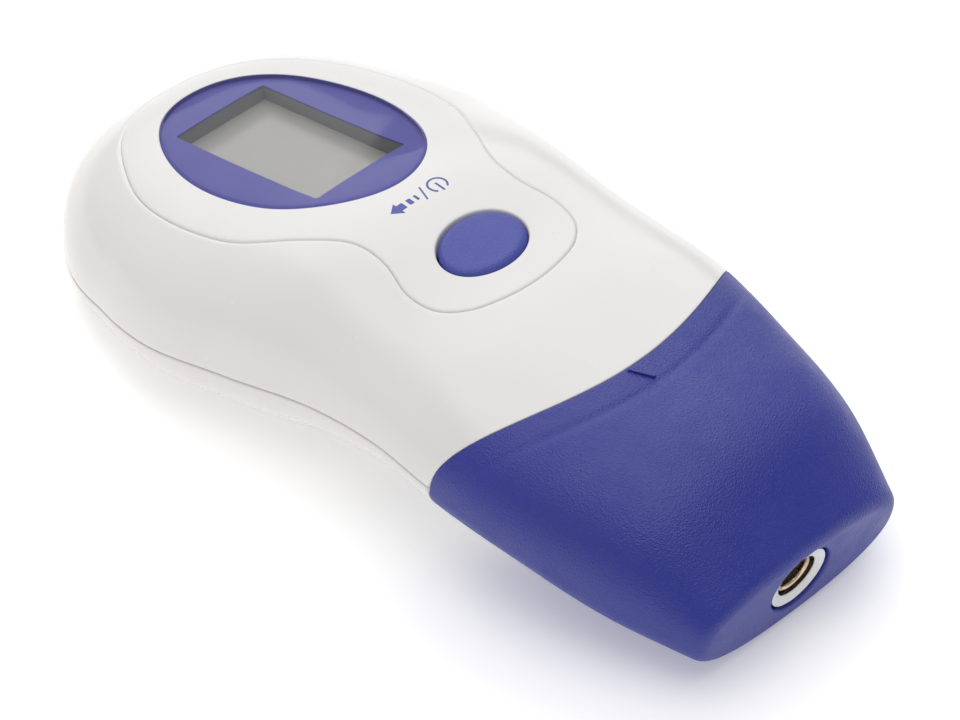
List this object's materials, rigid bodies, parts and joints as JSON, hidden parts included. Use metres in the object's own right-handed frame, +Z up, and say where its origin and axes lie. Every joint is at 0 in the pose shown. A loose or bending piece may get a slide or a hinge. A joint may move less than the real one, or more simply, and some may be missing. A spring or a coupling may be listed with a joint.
{
  "type": "digital ear thermometer",
  "caption": "Handheld infrared ear and forehead thermometer with an oval display, one push button, a pull-off cap over the ear probe and a screwed coin-cell door.",
  "frame": {"origin": "under the middle of the whole object, on the surface it rests on, lying on its back", "axes": "+X along the body towards the cap and probe tip, +Y across the body, +Z up out of the display side"},
  "size_m": [0.106, 0.0516, 0.0252],
  "materials": {
    "white_case": "gloss",
    "white_panel": "satin",
    "white_probe": "gloss",
    "clear_lens": "gloss",
    "blue_mask": "gloss",
    "blue_button": "satin",
    "blue_cap": "matte",
    "dark_plastic": "matte",
    "lcd_glass": "satin",
    "reflector": "satin",
    "zebra_rubber": "matte",
    "circuit_board": "satin",
    "black_epoxy": "satin",
    "component_body": "satin",
    "tray_plastic": "satin",
    "steel": "satin",
    "brass": "satin",
    "gold_plate": "gloss",
    "gold_tube": "gloss",
    "flex_film": "satin"
  },
  "bodies": {
    "case": {"upper_shell": "white_case", "lower_shell": "white_case", "front_panel": "white_panel", "display_lens": "clear_lens", "display_mask": "blue_mask", "lcd_frame": "dark_plastic", "lcd_panel": "lcd_glass", "lcd_reflector": "reflector", "zebra_strips": "zebra_rubber", "main_pcb": "circuit_board", "controller_chip": "black_epoxy", "board_components": "component_body", "crystal": "steel", "hall_sensor": "black_epoxy", "switch_base": "dark_plastic", "buzzer": "brass", "battery_tray": "tray_plastic", "coin_cell": "steel", "positive_contact": "gold_plate", "negative_contact": "gold_plate", "case_screws": "steel", "pcb_screws": "steel", "nose_frame": "white_case", "ear_probe": "white_probe", "waveguide_tube": "gold_tube", "sensor_can": "steel", "sensor_holder": "brass", "sensor_flex": "flex_film"},
    "cap": {"cap": "blue_cap", "cap_magnet": "steel"},
    "button": {"power_button": "blue_button"},
    "plunger": {"switch_plunger": "dark_plastic"},
    "door": {"battery_door": "white_case", "door_screw": "steel"}
  },
  "joints": [
    {"name": "cap_pull", "type": "slide", "parent": "case", "child": "cap", "axis": [0.9781, 0, -0.2079], "range_m": [0, 0.036]},
    {"name": "button_press", "type": "slide", "parent": "case", "child": "button", "axis": [0.1908, 0, -0.9816], "range_m": [0, 0.0006], "stiffness_N_per_m": 800},
    {"name": "plunger_press", "type": "slide", "parent": "case", "child": "plunger", "axis": [0.1908, 0, -0.9816], "range_m": [0, 0.0006]},
    {"name": "door_lift", "type": "slide", "parent": "case", "child": "door", "axis": [0, 0, -1], "range_m": [0, 0.02]}
  ],
  "couplings": [
    {"joint": "plunger_press", "follows": "button_press", "ratio": 1}
  ]
}
